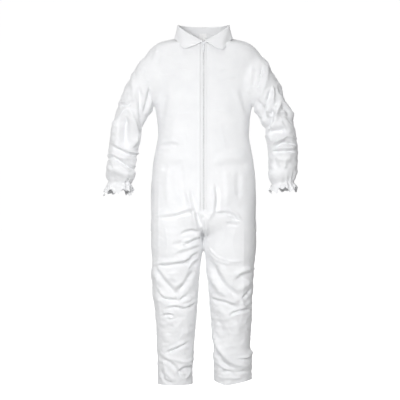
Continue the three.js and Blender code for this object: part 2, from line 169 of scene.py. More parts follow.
# ---- the body's underlying shape ----

def torso_rows():
    shape = [  # height, half width, back, lean
        (0.044, 0.086, 0.060, NECK_LEAN), (NECK_Z, 0.088, 0.064, NECK_LEAN), (0.0071, 0.118, 0.072, 0.25),
        (0.0002, 0.167, 0.080, 0.17), (-0.0205, 0.210, 0.088, 0.08), (-0.055, 0.240, 0.096, 0.04),
        (-0.098, 0.243, 0.102, 0), (-0.175, 0.222, 0.112, 0), (-0.296, 0.198, 0.112, 0),
        (-0.390, 0.189, 0.096, 0), (-0.460, 0.201, 0.100, 0), (-0.520, 0.211, 0.109, 0),
        (-0.640, 0.219, 0.122, 0), (-0.734, 0.218, 0.119, 0), (-0.770, 0.213, 0.110, 0),
        (-0.795, 0.192, 0.086, 0), (-0.812, 0.120, 0.046, 0),
    ]
    rows = []
    for z, half, back, lean in shape:
        front = front_line(z)
        if lean:
            front = (front - ZIP_SLOPE * lean * NECK_MIDDLE) / (1 - ZIP_SLOPE * lean)
        if z < -0.75:
            front = float(np.interp(-z, (0.770, 0.795, 0.812), (-0.119, -0.098, -0.056)))
        middle, depth = (front + back) / 2, (back - front) / 2
        centre = (0, middle, z + lean * (middle - NECK_MIDDLE))
        rows.append(oval(centre, (half, 0, 0), (0, depth, lean * depth)))
    return through([-z for z, *_ in shape], rows, 190)


def sleeve_path(t):
    """The middle of the left sleeve, from the armhole at 0 to its end at 1."""
    bend = ARMHOLE_TOP + SLEEVE_HANG * 0.270 + SLEEVE_ACROSS * 0.027
    t = np.asarray(t, float)[..., None]
    return (1 - t) ** 2 * ARMHOLE_MIDDLE + 2 * t * (1 - t) * bend + t * t * SLEEVE_END


def sleeve_rows():
    shape = [  # station, half width, half depth, turn from the armhole's tilt to the wrist's, shift outwards
        (0, 0.105, 0.075, 0, 0.011), (0.12, 0.088, 0.076, 0.24, 0.005), (0.27, 0.070, 0.075, 0.60, 0.008),
        (0.42, 0.062, 0.074, 0.85, 0.011), (0.58, 0.062, 0.070, 0.95, 0.006), (0.78, 0.060, 0.064, 1, 0.002),
        (0.88, 0.058, 0.058, 1, 0), (GATHER, 0.048, 0.047, 1, 0), (1, 0.056, 0.054, 1, 0),
        (1.05, 0.058, 0.056, 1, 0),
    ]
    armhole_tilt, wrist_tilt = math.radians(79.5), math.radians(4.2)
    rows = [oval(ARMHOLE_MIDDLE - ARMHOLE_OUT * 0.09, (0.015, 0, 0.078), (0, 0.056, 0), power=2.0)]
    for t, half, depth, turn, shift in shape:
        tilt = armhole_tilt + (wrist_tilt - armhole_tilt) * turn
        across = np.array((math.cos(tilt), 0, math.sin(tilt)))
        rows.append(oval(sleeve_path(t) + across * shift, across * half, (0, depth, 0), power=2.1))
    return through([-0.18] + [t for t, *_ in shape], rows, 150)


def leg_rows():
    shape = [  # station, half width, half depth, middle
        (-0.24, 0.096, 0.098, 0.110), (-0.04, 0.111, 0.110, 0.110), (0.06, 0.1105, 0.109, 0.110),
        (0.15, 0.103, 0.106, 0.112), (0.4, 0.090, 0.094, 0.113), (0.72, 0.079, 0.083, 0.116),
        (1, 0.073, 0.077, 0.117), (1.03, 0.073, 0.077, 0.117),
    ]
    rows = []
    for t, half, depth, x in shape:
        centre = (x, HIP_Y + 0.004 * max(t, 0), CROTCH_Z - t * INSEAM)
        rows.append(oval(centre, (half, 0, 0), (0, depth, 0), power=2.2))
    return through([t for t, *_ in shape], rows, 150)


def union_skin():
    """One surface over the torso, sleeves and legs, as points and faces."""
    verts, faces = [], []
    for rows, sides in ((torso_rows(), (1,)), (sleeve_rows(), (1, -1)), (leg_rows(), (1, -1))):
        for side in sides:
            v, f = tube(rows)
            v = [(side * x, y, z) for x, y, z in v]
            f = [tuple(reversed(face)) for face in f] if side < 0 else f
            faces += [tuple(len(verts) + i for i in face) for face in f]
            verts += v
    lump = new_object("lump", verts, faces)
    remesh = lump.modifiers.new("remesh", "REMESH")
    remesh.mode, remesh.voxel_size = "VOXEL", VOXEL
    mesh = bpy.data.meshes.new_from_object(lump.evaluated_get(bpy.context.evaluated_depsgraph_get()))
    points = np.zeros(len(mesh.vertices) * 3, np.float32)
    mesh.vertices.foreach_get("co", points)
    corners = np.zeros(len(mesh.loops), np.int32)
    mesh.loops.foreach_get("vertex_index", corners)
    bpy.data.objects.remove(lump)
    return points.reshape(-1, 3).astype(float), corners.reshape(-1, 4)


class Skin:
    """The cloth's surface while it is being shaped."""

    def __init__(self, points, faces):
        self.p, self.f = points, faces
        ring = np.concatenate([faces[:, [0, 1]], faces[:, [1, 2]], faces[:, [2, 3]], faces[:, [3, 0]]])
        self.e = np.unique(np.sort(ring, axis=1), axis=0)
        self.near = np.bincount(self.e.ravel(), minlength=len(points)).astype(float)

    def averaged(self, values):
        total = np.empty_like(values)
        for k in range(values.shape[1]):
            total[:, k] = (
                np.bincount(self.e[:, 0], values[self.e[:, 1], k], len(values))
                + np.bincount(self.e[:, 1], values[self.e[:, 0], k], len(values))
            )
        return total / self.near[:, None]

    def relax(self, rounds, share=0.5):
        """Evens the surface out; share may differ from point to point."""
        share = np.broadcast_to(share, len(self.p))[:, None]
        for _ in range(rounds):
            self.p += share * (self.averaged(self.p) - self.p)

    def normals(self, soften=2):
        a, b, c, d = (self.p[self.f[:, k]] for k in range(4))
        n = np.cross(c - a, d - b)
        total = np.stack([
            sum(np.bincount(self.f[:, k], n[:, axis], len(self.p)) for k in range(4)) for axis in range(3)
        ], axis=1)
        for _ in range(soften):
            total = total + self.averaged(total)
        return total / np.maximum(np.linalg.norm(total, axis=1), 1e-12)[:, None]


# ---- folds: strokes on the front or back, in centimetres across and up ----

# Each fold: kind, half width, height, and the points that it runs through.
# A step bulges on the left of its direction and dips on the right.
TORSO_FOLDS = [
    ("ridge", 0.8, 0.35, [(-19.2, -3), (-20.4, -7), (-21.6, -11.2)]),
    ("valley", 0.8, 0.3, [(-17.4, -4), (-19.2, -9.5)]),
    ("ridge", 2.2, 0.45, [(-9.5, -20), (-11.5, -33), (-13.5, -45)]),
    ("valley", 1.6, 0.4, [(-15.5, -22), (-17, -33)]),
    ("ridge", 1.4, 0.3, [(-13.2, -20), (-15.2, -29), (-15.8, -38)]),
    ("ridge", 1.6, 0.4, [(12, -19), (16.5, -31), (17.5, -41)]),
    ("valley", 1.2, 0.35, [(15, -19.5), (18, -31)]),
    ("ridge", 0.7, 0.4, [(20.4, -9.5), (19.2, -17), (19, -23)]),
    ("valley", 0.7, 0.4, [(21.6, -12), (20.4, -20)]),
    ("step", 0.7, 0.32, [(-18.6, -43.8), (-13.5, -42.6), (-9.8, -43.3)]),
    ("step", 1.8, 0.35, [(4, -51.6), (12, -50.4), (19.6, -50)]),
    ("step", 1.8, 0.25, [(-18, -51), (-8, -50)]),
    ("ridge", 1.2, 0.4, [(-14.6, -52), (-14.9, -60), (-14.6, -68)]),
    ("valley", 1.3, 0.45, [(-9.6, -51), (-8.8, -60), (-7, -68)]),
    ("ridge", 1.6, 0.4, [(9.4, -53), (9.8, -62), (9.4, -69)]),
    ("valley", 1.2, 0.35, [(14, -54), (14.4, -66)]),
    ("ridge", 0.45, 0.16, [(-18.4, -57), (-18.5, -78), (-18.2, -104), (-17.2, -120)]),
    ("ridge", 0.45, 0.16, [(16.6, -70), (16.4, -90), (15.8, -108), (15.2, -120)]),
    ("valley", 0.9, 0.75, [(-5.6, -60.5), (-3.6, -67.5), (-1.7, -74), (-0.6, -78)]),
    ("valley", 1, 1.2, [(-3.2, -70.5), (-2, -75), (-0.9, -79), (-0.4, -82)]),
    ("valley", 0.7, 1, [(-0.4, -71.6), (-0.2, -75), (0, -80), (0, -85)]),
    ("ridge", 0.9, 0.6, [(-7.4, -62), (-5, -69.5), (-2.4, -76.5)]),
    ("ridge", 1, 0.75, [(2.4, -58.8), (3.9, -63.5), (3.6, -69.5), (1.7, -75.5)]),
    ("valley", 0.8, 0.6, [(4.9, -59.5), (5.8, -65), (5, -71.5)]),
]
FINE_CREASES = [
    ("ridge", 0.35, 0.16, [(-15.4, -6), (-11.2, -6.3)]),
    ("ridge", 0.35, 0.14, [(-14.6, -9.6), (-6.4, -10)]),
    ("ridge", 0.4, 0.16, [(-18, -14.8), (-11, -14.4)]),
    ("valley", 0.35, 0.14, [(-12, -12.4), (-5, -12)]),
    ("ridge", 0.35, 0.14, [(5, -12.6), (13.5, -11.8)]),
    ("valley", 0.4, 0.14, [(7.6, -17), (15.8, -15.6)]),
    ("ridge", 0.35, 0.12, [(3.2, -29.5), (12.4, -29.8)]),
    ("ridge", 0.35, 0.12, [(-12.4, -31), (-4, -30.6)]),
    ("ridge", 0.35, 0.14, [(6.6, -33), (9.4, -46)]),
    ("valley", 0.35, 0.14, [(-6.6, -33), (-7.4, -46)]),
    ("ridge", 0.4, 0.16, [(5.4, -74.6), (8.6, -79), (7.6, -84.6)]),
    ("ridge", 0.4, 0.16, [(13.4, -77), (12, -83), (13, -88.6)]),
    ("ridge", 0.35, 0.14, [(-16, -76), (-15, -84), (-15.8, -90)]),
    ("ridge", 0.35, 0.16, [(8.4, -117), (10.6, -121), (11, -127)]),
    ("valley", 0.35, 0.16, [(-10, -115), (-9, -119), (-11, -124)]),
]
LEG_FOLDS = [
    # tops of the thighs
    ("step", 0.7, 0.55, [(-18.6, -73), (-11.8, -72.2), (-7, -70.6), (-3.2, -69.8)]),
    ("valley", 0.6, 0.7, [(-12, -73.2), (-8, -71.8), (-4.4, -71.6)]),
    ("step", 0.6, 0.6, [(4.4, -71.2), (9, -71), (12.4, -72.2), (15.6, -74.8)]),
    ("valley", 0.5, 0.6, [(9.6, -73.4), (12.4, -73.9), (15, -74.6)]),
    ("valley", 0.6, 0.5, [(9, -75.6), (14.6, -76.4)]),
    # inside of the viewer's left thigh, fanning out of the crotch
    ("valley", 0.8, 0.75, [(-1, -79.2), (-5, -79), (-9.8, -80.3)]),
    ("step", 0.7, 0.7, [(-9.2, -84.6), (-4.4, -82.4), (-1.2, -80.6)]),
    ("step", 0.8, 0.55, [(-11.5, -88), (-6.6, -86.4), (-1.8, -85)]),
    ("valley", 0.9, 0.45, [(-13, -84.5), (-9, -84), (-5, -85.2)]),
    ("step", 0.7, 0.5, [(-8.8, -92.6), (-5.4, -89.2), (-2.2, -87.2)]),
    ("step", 0.7, 0.45, [(-6.6, -95), (-4.2, -92), (-2, -90.4)]),
    ("ridge", 2.4, 0.5, [(-12.4, -77), (-13.2, -84), (-12.8, -91)]),
    # viewer's left knee
    ("step", 0.8, 0.9, [(-19.4, -92.8), (-13.5, -92.2), (-8.6, -91.4), (-4.4, -90)]),
    ("valley", 0.9, 0.85, [(-19.2, -93.6), (-16.4, -98.4), (-12.4, -103.6), (-11.4, -105.6)]),
    ("ridge", 1.9, 0.9, [(-13.6, -95.2), (-11.2, -99), (-9.6, -102.4)]),
    ("valley", 1, 0.65, [(-11.4, -105), (-7.4, -100), (-3.8, -94.2)]),
    ("step", 0.8, 0.8, [(-18.2, -102.4), (-15.4, -106.2), (-11, -106.9), (-6.4, -104.4)]),
    ("valley", 0.6, 0.65, [(-16.6, -107), (-12.6, -107.2), (-9.2, -104.6)]),
    ("ridge", 0.8, 0.6, [(-13, -108.8), (-8.2, -107.8), (-4.4, -106.4)]),
    ("step", 0.6, 0.85, [(-15.6, -110.6), (-11.4, -109.6), (-8.2, -110.4), (-3.6, -108.6)]),
    ("step", 0.5, 0.8, [(-16.8, -113.4), (-14, -112.8), (-11.8, -113.8)]),
    ("valley", 0.5, 0.5, [(-15.6, -115.2), (-13, -115.4), (-11.2, -114.4)]),
    ("valley", 1.4, 0.45, [(-13.4, -117), (-14.4, -122)]),
    ("ridge", 1.6, 0.4, [(-7.4, -114), (-6.8, -122)]),
    # viewer's left ankle
    ("step", 0.6, 0.85, [(-15.4, -128.6), (-11.4, -127), (-7, -124.6)]),
    ("ridge", 0.7, 0.7, [(-17.8, -129.6), (-12.6, -131.6), (-7, -132.8), (-4.2, -132.2)]),
    ("valley", 0.7, 0.8, [(-17.8, -131.4), (-13.6, -133.4), (-10.8, -136.4), (-8.4, -140.4)]),
    ("ridge", 0.6, 0.6, [(-16.8, -132.6), (-15.2, -137.4), (-10.8, -141)]),
    ("valley", 0.6, 0.65, [(-17.6, -136), (-16, -140.2), (-12, -142)]),
    ("step", 0.6, 0.6, [(-11.2, -137.8), (-7.8, -134.8), (-4.2, -134.8)]),
    ("ridge", 0.6, 0.5, [(-7.6, -139.8), (-4.8, -136.6)]),
    # viewer's right thigh and knee
    ("ridge", 0.45, 0.45, [(1.6, -84.6), (4, -87.8), (7.2, -90.2), (12.8, -91.4), (17, -91)]),
    ("ridge", 0.45, 0.4, [(1.8, -86.6), (4.4, -89.8), (8.4, -91.8), (13.4, -92.6)]),
    ("valley", 1.5, 1.25, [(2.6, -90.5), (5.4, -97), (9.6, -102.6), (16.2, -106.8)]),
    ("ridge", 1.3, 0.8, [(3.2, -95.8), (6.6, -102.2), (11.6, -106.2)]),
    ("ridge", 1.6, 0.9, [(14.2, -103.4), (17.4, -100.4), (18.6, -98.4)]),
    ("step", 0.9, 0.8, [(13, -98.2), (16.6, -96), (20.4, -95.2)]),
    ("valley", 0.6, 0.65, [(15.8, -106.8), (17.8, -104.6), (19.4, -102.4)]),
    ("step", 0.7, 0.75, [(3, -106.4), (8.6, -107.6), (14.6, -110.2)]),
    ("ridge", 0.5, 0.5, [(15.4, -107.4), (16.6, -109.6), (19.6, -108)]),
    ("valley", 0.6, 1.1, [(10.6, -113.6), (14.2, -112), (19.8, -111.2)]),
    ("ridge", 1.3, 0.55, [(5.6, -109.4), (8.2, -112.6), (11, -115.8)]),
    ("valley", 1.4, 0.45, [(6.6, -115), (8, -121)]),
    ("ridge", 1.6, 0.5, [(13.4, -116), (14.6, -122)]),
    # viewer's right ankle
    ("ridge", 1, 1, [(3.6, -117.6), (5.4, -125.2), (9, -130.2), (14.2, -134.6), (18, -136.6)]),
    ("valley", 1, 0.95, [(3.2, -123.8), (5.4, -129.8), (9.6, -134.4), (15.2, -137.4)]),
    ("step", 0.6, 0.65, [(5.6, -134.4), (10.6, -136.2), (17, -137.8)]),
    ("valley", 0.6, 0.65, [(6.6, -137.4), (10.2, -136.8), (13.2, -139.4)]),
    ("ridge", 0.6, 0.55, [(5.6, -139.6), (9.8, -139.2), (14.8, -140.8)]),
    ("step", 0.5, 0.5, [(13.4, -131.6), (16.6, -131.8), (18.8, -130.8)]),
]
SLEEVE_FOLDS = [
    # viewer's left sleeve
    ("valley", 0.9, 0.8, [(-26.6, -19), (-26.2, -27), (-25.6, -36)]),
    ("valley", 0.8, 0.9, [(-21.6, -19), (-23, -25), (-25, -31)]),
    ("ridge", 0.9, 0.45, [(-30.2, -10), (-29, -19), (-28.8, -26)]),
    ("valley", 0.7, 0.55, [(-29.2, -7), (-32.4, -14), (-34.6, -22)]),
    ("step", 0.6, 0.8, [(-34.8, -26.4), (-32.4, -26.6), (-30.2, -25.4)]),
    ("ridge", 0.6, 0.6, [(-34.8, -32.4), (-32.8, -29.6), (-31.2, -28.2)]),
    ("ridge", 0.7, 0.85, [(-31, -28), (-28.8, -33), (-27.8, -39), (-29.6, -45)]),
    ("valley", 1.7, 2.1, [(-32.2, -31), (-32.4, -38), (-32, -45)]),
    ("ridge", 0.9, 0.6, [(-36.2, -32), (-37.2, -38), (-37.6, -43)]),
    ("step", 0.7, 1, [(-38, -43), (-34, -45.2), (-30, -46.8), (-26.6, -47.4)]),
    ("ridge", 0.6, 0.6, [(-37.6, -46.8), (-33.8, -48.6), (-29.8, -49.2)]),
    ("valley", 0.7, 1.2, [(-41, -49.6), (-37.8, -48.6), (-34.4, -50.4), (-29.8, -53), (-27, -53.6)]),
    ("ridge", 1.7, 0.95, [(-39.6, -52.6), (-35.4, -53.6), (-30.2, -56.2)]),
    ("valley", 0.6, 0.5, [(-39, -51.6), (-37, -53.2)]),
    # viewer's right sleeve
    ("valley", 0.7, 0.6, [(24.4, -10.6), (22.8, -16.6), (21.4, -21.4)]),
    ("ridge", 0.7, 0.55, [(23, -10.2), (21.8, -16.4)]),
    ("ridge", 0.9, 0.5, [(27, -9), (25.4, -18), (23, -25.5)]),
    ("valley", 0.8, 0.75, [(27.8, -20.6), (26.6, -25), (24.8, -29.4)]),
    ("ridge", 0.6, 0.75, [(28.6, -18.8), (28.6, -23), (28.8, -27.2)]),
    ("ridge", 1, 1.2, [(31.8, -25.4), (30.6, -28.4), (29.4, -31.4)]),
    ("valley", 1.1, 1.7, [(28.8, -28.4), (27.4, -33), (25.8, -38.4)]),
    ("step", 0.6, 0.75, [(31.6, -26.2), (34.6, -28.6), (37, -32.4)]),
    ("valley", 0.9, 0.65, [(31.2, -31), (34.4, -31.6), (36.8, -34.8)]),
    ("valley", 1.5, 2, [(26.6, -38.2), (30.2, -38), (34, -37.6)]),
    ("valley", 0.9, 1.1, [(22.4, -25), (24.6, -29), (26.6, -34)]),
    ("valley", 0.9, 0.9, [(31, -19), (33.6, -23), (35, -27)]),
    ("ridge", 0.8, 1.25, [(28.6, -43.6), (31.6, -41), (34.6, -39.8), (38.4, -40.6)]),
    ("valley", 0.6, 0.9, [(30, -44.2), (33.4, -42.6), (38.2, -43.2)]),
    ("ridge", 0.6, 0.85, [(29.2, -45.2), (33.6, -44.4), (38.6, -44.8)]),
    ("valley", 0.6, 1.15, [(28.2, -46.4), (33.2, -46.2), (38.8, -46)]),
    ("ridge", 1.6, 0.6, [(28.6, -49), (33, -49.2), (37.6, -49)]),
    ("valley", 0.9, 0.6, [(30.4, -48.2), (31.4, -53)]),
    ("ridge", 0.7, 0.5, [(34.8, -48.6), (34.6, -53.2)]),
]
BACK_FOLDS = [
    ("step", 1.4, 0.6, [(-16, -12), (-6, -14.5), (4, -14.8), (15, -12.5)]),
    ("ridge", 1.5, 0.5, [(-19, -22), (-12, -28), (-5, -38)]),
    ("ridge", 1.4, 0.5, [(18.5, -21), (13, -28.5), (7, -37)]),
    ("valley", 1.3, 0.45, [(-16, -19), (-9, -27), (-3, -37)]),
    ("valley", 1.1, 0.5, [(16, -18), (10, -27), (4.5, -36)]),
    ("step", 1.2, 0.8, [(-18, -50.5), (-7, -52), (5, -51.5), (17, -50)]),
    ("step", 1.1, 0.7, [(-15, -57), (-3, -59), (9, -57.5)]),
    ("valley", 1.6, 1.1, [(0, -62), (0.3, -72), (0, -80)]),
    ("step", 1, 0.9, [(-18, -77.5), (-11, -79.5), (-3, -80.5)]),
    ("step", 1, 0.9, [(3, -80.5), (10, -80), (18, -76.5)]),
    ("valley", 1, 0.8, [(-15, -84), (-8, -84.6), (-3, -82.5)]),
    ("valley", 1, 0.75, [(3.5, -83), (9, -85.6), (16, -84)]),
    ("step", 0.9, 0.95, [(-20, -96), (-12, -98.5), (-4, -97)]),
    ("step", 0.9, 0.85, [(-19, -101), (-11, -104), (-3.5, -101.5)]),
    ("valley", 0.8, 0.8, [(-19, -107.5), (-12, -106.5), (-5, -109)]),
    ("step", 0.9, 0.95, [(3, -95.5), (11, -98), (20, -96.5)]),
    ("step", 0.8, 0.8, [(4, -103.5), (12, -102), (19.5, -104.5)]),
    ("valley", 0.8, 0.75, [(4, -108), (11, -109.5), (19, -107)]),
    ("ridge", 1, 0.6, [(-15, -112), (-12, -121), (-8, -129)]),
    ("ridge", 1, 0.6, [(7, -112), (10, -122), (15, -130)]),
    ("step", 0.7, 0.85, [(-18, -131), (-11, -133), (-4.5, -131.5)]),
    ("valley", 0.7, 0.7, [(-18, -137), (-11, -136), (-5, -138.5)]),
    ("step", 0.7, 0.85, [(5, -130.5), (12, -133.5), (18.5, -132.5)]),
    ("valley", 0.7, 0.7, [(5, -137.5), (11, -136.5), (18.5, -138.5)]),
    ("valley", 0.9, 0.8, [(-35, -24), (-31, -27), (-26.5, -27.5)]),
    ("step", 0.8, 1, [(-37, -33), (-32, -35.5), (-26.5, -35)]),
    ("step", 0.8, 1, [(-38.5, -42), (-33, -44), (-27.5, -43)]),
    ("valley", 0.7, 0.95, [(-39.5, -49.5), (-34, -48.5), (-28.5, -50.5)]),
    ("valley", 0.9, 0.8, [(26, -27.5), (31, -25.5), (35.5, -24.5)]),
    ("step", 0.8, 1, [(26.5, -35.5), (31.5, -34), (37, -34.5)]),
    ("step", 0.8, 1, [(27.5, -43.5), (33, -42.5), (38.5, -43.5)]),
    ("valley", 0.7, 0.95, [(28.5, -49.5), (33.5, -50.5), (39, -49)]),
]


def fold_height(kind, away, width):
    """How high a fold stands at signed distances away from its line, as a share of its height."""
    if kind == "ridge":
        return hump(away, width)
    if kind == "valley":
        lips = hump(away - 1.7 * width, width) + hump(away + 1.7 * width, width)
        return -hump(away, width) + 0.35 * lips
    return away / width * np.exp(0.5 - 0.5 * (away / width) ** 2)


def fold_field(points, folds):
    """The height of all the folds at points, seen square on from the front."""
    flat = points[:, [0, 2]] / CM
    height = np.zeros(len(points))
    for kind, width, tall, line in folds:
        line = through(range(len(line)), line, 6 * len(line))
        low, high = line.min(0) - 3.2 * width - 0.3, line.max(0) + 3.2 * width + 0.3
        near = np.flatnonzero(((flat > low) & (flat < high)).all(1))
        if not len(near):
            continue
        best, signed, along = np.full(len(near), 1e9), np.zeros(len(near)), np.zeros(len(near))
        for i, (a, b) in enumerate(zip(line[:-1], line[1:])):
            d, rel = b - a, flat[near] - a
            t = np.clip(rel @ d / (d @ d), 0, 1)
            far = np.linalg.norm(rel - t[:, None] * d, axis=1)
            side = np.sign(d[0] * rel[:, 1] - d[1] * rel[:, 0])
            closer = far < best
            best = np.where(closer, far, best)
            signed = np.where(closer, far * side, signed)
            along = np.where(closer, (i + t) / (len(line) - 1), along)
        taper = smooth(along, 0, 0.22) * smooth(1 - along, 0, 0.22)
        narrow = width * (0.6 + 0.4 * taper)
        height[near] += tall * (0.15 + 0.85 * taper) * fold_height(kind, signed, narrow) * hump(
            np.maximum(best - 2.6 * width, 0), 0.5 * width)
    return height * CM


def crumple(points, size, seed, sharp):
    """Seeded creasing about size metres across, from -1 to 1; sharp folds the noise into ridges."""
    out = np.empty(len(points))
    for i, q in enumerate(points / size + seed):
        v = noise.noise(q) + 0.5 * noise.noise(q * 2.1)
        out[i] = 0.7 - 2 * abs(v) if sharp else v
    return out


def limb(points):
    """How far down a sleeve its points are, 0 at the armhole and 1 at the end, and the angle round it."""
    t = np.linspace(0, 1.06, 140)
    path = sleeve_path(t)
    q = to_left(points)
    place = np.empty(len(q), int)
    for first in range(0, len(q), 4000):
        block = q[first:first + 4000, None, [0, 2]] - path[None, :, [0, 2]]
        place[first:first + 4000] = (block ** 2).sum(2).argmin(1)
    rel = q - path[place]
    return t[place], np.arctan2(rel[:, 1], rel[:, 0])


def before_bow(points):
    """Points near the sleeves' ends, with the left forearm about where it was before bow_limbs."""
    return points + np.outer(np.where(points[:, 0] > 0, FOREARM_SHIFT, 0), (1, 0, 0))


def on_sleeve(points):
    q = to_left(points)
    return ((q - ARMHOLE_LOW) @ ARMHOLE_OUT > 0) & ((q - ARMHOLE_LOW) @ FLANK_OUT > 0)


def ease_joins(skin):
    """Rounds off where the sleeves and the legs run into the body."""
    q = to_left(skin.p)
    armhole = hump((q - ARMHOLE_LOW) @ ARMHOLE_OUT, 0.060) * smooth(q[:, 2], -0.24, -0.15)
    crotch = hump(q[:, 2] + 0.800, 0.040) * smooth(q[:, 0], 0.006, 0.020)
    skin.relax(int(0.42 / VOXEL), 0.5 * np.maximum(armhole, crotch))


def shape_cloth(skin):
    """Puts the folds, gathers and crumples on the plain surface."""
    p, n = skin.p, skin.normals(6)
    sleeve = on_sleeve(p)
    x, y, z = p.T
    front, back = smooth(-n[:, 1], -0.55, 0.15), smooth(n[:, 1], -0.15, 0.45)
    beside_zip = np.where((y < 0) & (z > -0.715), smooth(np.abs(x), 0.015, 0.050), 1)
    under_collar = smooth(NECK_Z + NECK_LEAN * (y - NECK_MIDDLE) - z, 0.004, 0.05)
    calm = beside_zip * under_collar
    height = np.where(sleeve, 0, front * fold_field(p, TORSO_FOLDS + FINE_CREASES + LEG_FOLDS))
    height += np.where(sleeve, 1.25 * front * fold_field(p, SLEEVE_FOLDS), 0)
    height += back * fold_field(p, BACK_FOLDS)
    low_leg = smooth(-z, 0.86, 1.0) * ~sleeve
    busy = np.where(sleeve, 1.0, 0.25 + 0.75 * low_leg)
    for least, tall, squeeze, size, seed, sharp in (
        (0, 2.4, 1.7, 0.070, 4.3, True), (0.35, 2.2, 1, 0.13, 9.1, False),
        (0.2, 1.1, 1.3, 0.034, 2.7, True), (0.3, 0.5, 1.2, 0.017, 6.1, True),
    ):
        share = calm * (least + (1 - least) * busy)
        height += share * tall * MM * crumple(p * (1, 1, squeeze), size, seed, sharp)
    beside_opening = (y < 0) & (z > -0.700) & (z < -0.012)
    height += np.where(beside_opening, 2.4 * MM * hump(np.abs(x) - 0.0172, 0.0036), 0)
    calm = np.where(beside_opening, np.maximum(calm, hump(np.abs(x) - 0.0175, 0.004)), calm)
    waist = hump(z - WAIST_Z, 0.055) * smooth(y, -0.02, 0.05) * ~sleeve
    height += waist * (-3.0 * MM + 3.4 * MM * np.sin(x / 0.0036 + 3 * np.sin(x * 40)))
    p += n * (height * np.where(sleeve, 1, calm))[:, None]
    bow_limbs(p, sleeve)
    shape_cuffs(p, n, np.flatnonzero(sleeve))
    shape_hems(p)
    groove_seams(skin)


def bow_limbs(p, sleeve):
    """Lets one forearm hang closer in, and one knee stand out, as they do on the real one."""
    x, z = p[:, 0], p[:, 2]
    p[:, 0] -= np.where(sleeve & (x > 0), 0.020 * smooth(-z, 0.40, 0.62), 0)
    knee = hump(z + 1.040, 0.055) + 0.7 * hump(z + 0.965, 0.030)
    p[:, 0] -= np.where(~sleeve, 0.011 * knee * smooth(-x, 0.11, 0.19), 0)


def shape_cuffs(p, n, chosen):
    """Gathers the sleeves' ends on their elastic, and frills what is beyond it."""
    side = np.sign(p[chosen, 0])
    t, angle = limb(before_bow(p[chosen]))
    wobble = angle + 0.35 * np.sin(2 * angle + side) + 0.2 * np.sin(3 * angle - 2 * side)
    ruffle = np.sin(11 * wobble) + 0.45 * np.sin(19 * wobble + side)
    gather = hump(t - GATHER, 0.055)
    frill = smooth(t, GATHER + 0.004, 1.03)
    flare = np.where(side > 0, 0.75, 1.0)
    out = ruffle * (2.6 * MM * gather + 7.5 * MM * frill * flare) - 5 * MM * hump(t - GATHER, 0.014)
    out += 4 * MM * hump(t - 0.90, 0.035) * (1 + 0.5 * np.sin(2 * angle))
    p[chosen] += n[chosen] * out[:, None]


def rag_cuffs(bm):
    """Lets the frills' cut ends hang unevenly, in soft points."""
    verts = [v for v in bm.verts if abs(v.co.x) > 0.26 and -0.75 < v.co.z < -0.56]
    p = np.array([v.co for v in verts])
    side = np.sign(p[:, 0])
    t, angle = limb(before_bow(p))
    points = np.abs(np.sin(2.5 * angle + side)) ** 3 + 0.6 * np.abs(np.sin(6.5 * angle)) ** 2
    drop = np.where(side > 0, -12, -3) * MM + 17 * MM * points
    drop += np.where(side < 0, 9 * MM * smooth(-p[:, 0], 0.35, 0.41), 0)
    frill = smooth(t, GATHER + 0.008, 1.0)
    for v, low, s in zip(verts, drop * frill, side):
        v.co += Vector((SLEEVE_HANG[0] * s, 0, SLEEVE_HANG[2])) * low


def shape_hems(p):
    """Lets the ankles' ends ride up and wave as they do on the real one."""
    x, y, z = p.T
    low = smooth(-z, 1.27, 1.425)
    ruck = 0.22 * np.maximum(x - 0.092, 0) + 0.34 * np.maximum(0.080 - x, 0)
    level = 0.10 * np.maximum(-x - 0.150, 0) + 0.08 * np.maximum(x + 0.060, 0)
    wave = 1.6 * MM * np.sin(70 * x + 40 * y)
    p[:, 2] += np.where(x > 0, low * (ruck - 2 * MM), low * level) + low * wave * (np.abs(x) < 0.23)
    out = low * (x > 0.12) * (x < 0.23) * 40 * (x - 0.12) ** 2
    p[:, 0] += np.clip(out, 0, 0.012)


def groove_seams(skin):
    """Draws the cloth in a little along the armholes, the sides and the inside legs."""
    p, n = skin.p, skin.normals(1)
    q = to_left(p)
    armhole = np.where(q[:, 2] > -0.33, hump((q - ARMHOLE_LOW) @ ARMHOLE_OUT, 0.006), 0)
    side = hump(p[:, 1], 0.005) * 0.6
    p -= n * (1.4 * MM * np.maximum(armhole, side))[:, None]


# ---- cutting the skin into its sewn pieces ----

def cut(bm, point, normal, chosen, clear=False):
    """Cuts the chosen faces along a plane; with clear, what is beyond it goes."""
    faces = [f for f in bm.faces if chosen(f.calc_center_median())]
    geometry = set(faces)
    for f in faces:
        geometry.update(f.edges)
        geometry.update(f.verts)
    bmesh.ops.bisect_plane(bm, geom=list(geometry), plane_co=point, plane_no=normal, clear_outer=clear,
                           dist=2e-5)


